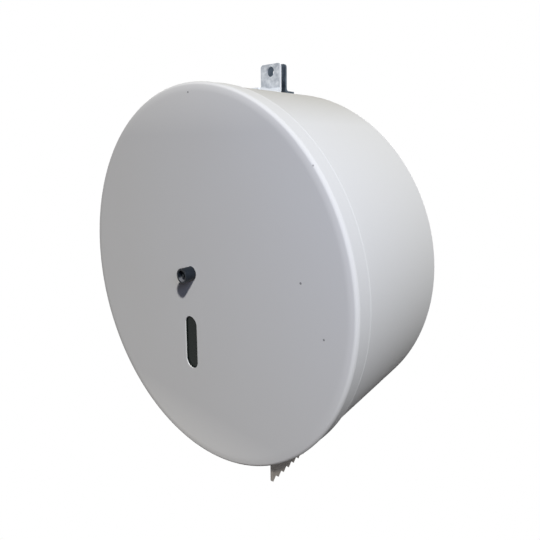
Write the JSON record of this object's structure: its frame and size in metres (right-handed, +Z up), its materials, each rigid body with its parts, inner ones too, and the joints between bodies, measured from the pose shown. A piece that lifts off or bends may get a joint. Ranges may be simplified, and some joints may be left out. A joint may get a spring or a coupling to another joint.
{
  "type": "jumbo toilet roll dispenser",
  "caption": "Wall-mounted round steel dispenser for a jumbo toilet roll, with a side-hinged locking lid, a spinning core hub, a sight slot, a serrated paper outlet and a lug on top.",
  "frame": {"origin": "centre of the back plate's wall side, on the drum's axis and in the middle of the wall-screw pattern", "axes": "+X right as seen from the front, +Y into the wall along the drum's axis, +Z up"},
  "size_m": [0.3111, 0.1341, 0.3366],
  "materials": {
    "white_coat": "gloss white baked coating on steel sheet",
    "zinc_plate": "zinc-plated steel, slightly mottled",
    "galvanised_blade": "galvanised steel strip, dulled",
    "bright_steel": "bright steel",
    "black_lock": "dark slate moulded plastic, satin",
    "hub_plastic": "grey moulded plastic",
    "nylon": "natural nylon",
    "smoked_pane": "smoked clear plastic strip"
  },
  "bodies": {
    "casing": {"drum_wall": "white_coat", "back_plate": "white_coat", "tear_blade_right": "galvanised_blade", "tear_blade_left": "galvanised_blade", "blade_rivets": "bright_steel", "lug_front_ear": "zinc_plate", "lug_rear_ear": "zinc_plate", "lug_rivets": "zinc_plate", "hinge_leaf_drum": "zinc_plate", "hinge_pin": "bright_steel", "hinge_rivets": "bright_steel", "axle_foot": "zinc_plate", "axle_rivets": "bright_steel", "axle_tube": "bright_steel", "keeper_cap": "zinc_plate", "rear_thrust_washer": "nylon", "front_thrust_washer": "nylon"},
    "lid": {"lid_shell": "white_coat", "hinge_leaf_lid": "zinc_plate", "window_pane": "smoked_pane", "pane_studs": "bright_steel", "pane_push_nuts": "bright_steel", "lock_bush": "black_lock", "lock_washer": "bright_steel", "lock_nut": "bright_steel"},
    "lock": {"lock_spindle": "black_lock", "spindle_clip": "bright_steel", "lock_cam": "zinc_plate", "cam_washer": "bright_steel", "cam_nut": "bright_steel"},
    "hub": {"core_hub": "hub_plastic"}
  },
  "joints": [
    {"name": "lid_hinge", "type": "hinge", "parent": "casing", "child": "lid", "pos_m": [-0.1556, -0.106, 0], "axis": [0, 0, -1], "range_deg": [0, 180]},
    {"name": "lock_turn", "type": "hinge", "parent": "lid", "child": "lock", "pos_m": [0, -0.124, 0], "axis": [0, 1, 0], "range_deg": [0, 90]},
    {"name": "hub_spin", "type": "hinge", "parent": "casing", "child": "hub", "pos_m": [0, -0.06, 0], "axis": [0, 1, 0], "continuous": true}
  ]
}
